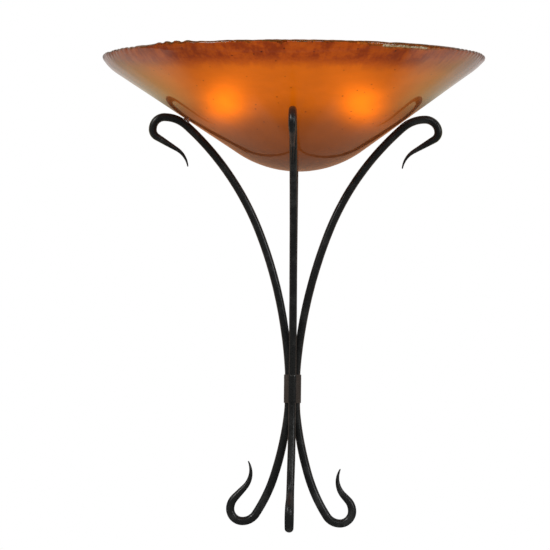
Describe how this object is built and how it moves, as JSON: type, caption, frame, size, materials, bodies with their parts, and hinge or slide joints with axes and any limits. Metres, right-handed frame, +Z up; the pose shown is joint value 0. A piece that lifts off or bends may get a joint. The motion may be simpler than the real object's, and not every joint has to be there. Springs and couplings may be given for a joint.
{
  "type": "wall sconce",
  "caption": "Wall sconce with a half bowl of amber art glass on forged black iron arms that are bundled by a collar and end in hooks above and feet below.",
  "frame": {"origin": "centre of the mounting plate on the wall, midway between the wall screws", "axes": "+Z up, +Y into the wall, -Y out into the room, +X to the right as seen from the room"},
  "size_m": [0.477, 0.2559, 0.5843],
  "materials": {
    "iron": "satin black wax over forged iron",
    "iron_sheet": "satin black",
    "zinc_steel": "zinc plated",
    "green_steel": "green passivated",
    "brass": "plain",
    "white_plastic": "matte",
    "black_phenolic": "semi-gloss",
    "black_insulation": "matte",
    "white_insulation": "matte",
    "orange_plastic": "matte",
    "clear_silicone": "clear, slightly milky",
    "amber_glass": "glossy, streaked and seeded",
    "opal_glass": "white coated inside",
    "bulb_cap_metal": "bright",
    "dark_glass": "glossy black",
    "solder": "dull",
    "clear_glass": "clear",
    "tungsten": "dull"
  },
  "bodies": {
    "fixture": {"left_arm": "iron", "right_arm": "iron", "front_arm": "iron", "collar": "iron", "spine_bar": "iron", "spine_rivets": "iron", "mounting_plate": "zinc_steel", "canopy": "iron_sheet", "canopy_studs": "zinc_steel", "cap_nuts": "iron_sheet", "ground_screw": "green_steel", "nipple": "brass", "nipple_nuts": "zinc_steel", "wire_bushing": "white_plastic", "socket_bracket": "zinc_steel", "left_socket": "black_phenolic", "right_socket": "black_phenolic", "socket_screws": "zinc_steel", "left_screw_shell": "brass", "right_screw_shell": "brass", "left_contact": "brass", "right_contact": "brass", "live_leads": "black_insulation", "neutral_leads": "white_insulation", "wire_nuts": "orange_plastic", "glass_pads": "clear_silicone"},
    "bowl": {"glass_bowl": "amber_glass"},
    "left_bulb_thread": {"left_bulb_tip": "solder"},
    "left_bulb": {"left_bulb_glass": "opal_glass", "left_bulb_cap": "bulb_cap_metal", "left_bulb_insulator": "dark_glass", "left_bulb_stem": "clear_glass", "left_bulb_filament": "tungsten"},
    "right_bulb_thread": {"right_bulb_tip": "solder"},
    "right_bulb": {"right_bulb_glass": "opal_glass", "right_bulb_cap": "bulb_cap_metal", "right_bulb_insulator": "dark_glass", "right_bulb_stem": "clear_glass", "right_bulb_filament": "tungsten"}
  },
  "joints": [
    {"name": "bowl_lift", "type": "slide", "parent": "fixture", "child": "bowl", "axis": [0, -0.766, 0.6428], "range_m": [0, 0.016]},
    {"name": "left_bulb_advance", "type": "slide", "parent": "fixture", "child": "left_bulb_thread", "axis": [-0.9962, 0, 0.0872], "range_m": [0, 0.0112]},
    {"name": "left_bulb_unscrew", "type": "hinge", "parent": "left_bulb_thread", "child": "left_bulb", "pos_m": [0, -0.052, 0], "axis": [-0.9962, 0, 0.0872], "range_deg": [0, 1080]},
    {"name": "right_bulb_advance", "type": "slide", "parent": "fixture", "child": "right_bulb_thread", "axis": [0.9962, 0, 0.0872], "range_m": [0, 0.0112]},
    {"name": "right_bulb_unscrew", "type": "hinge", "parent": "right_bulb_thread", "child": "right_bulb", "pos_m": [0, -0.052, 0], "axis": [0.9962, 0, 0.0872], "range_deg": [0, 1080]}
  ],
  "couplings": [
    {"joint": "left_bulb_advance", "follows": "left_bulb_unscrew", "m_per_rad": 0.00057757},
    {"joint": "right_bulb_advance", "follows": "right_bulb_unscrew", "m_per_rad": 0.00057757}
  ]
}
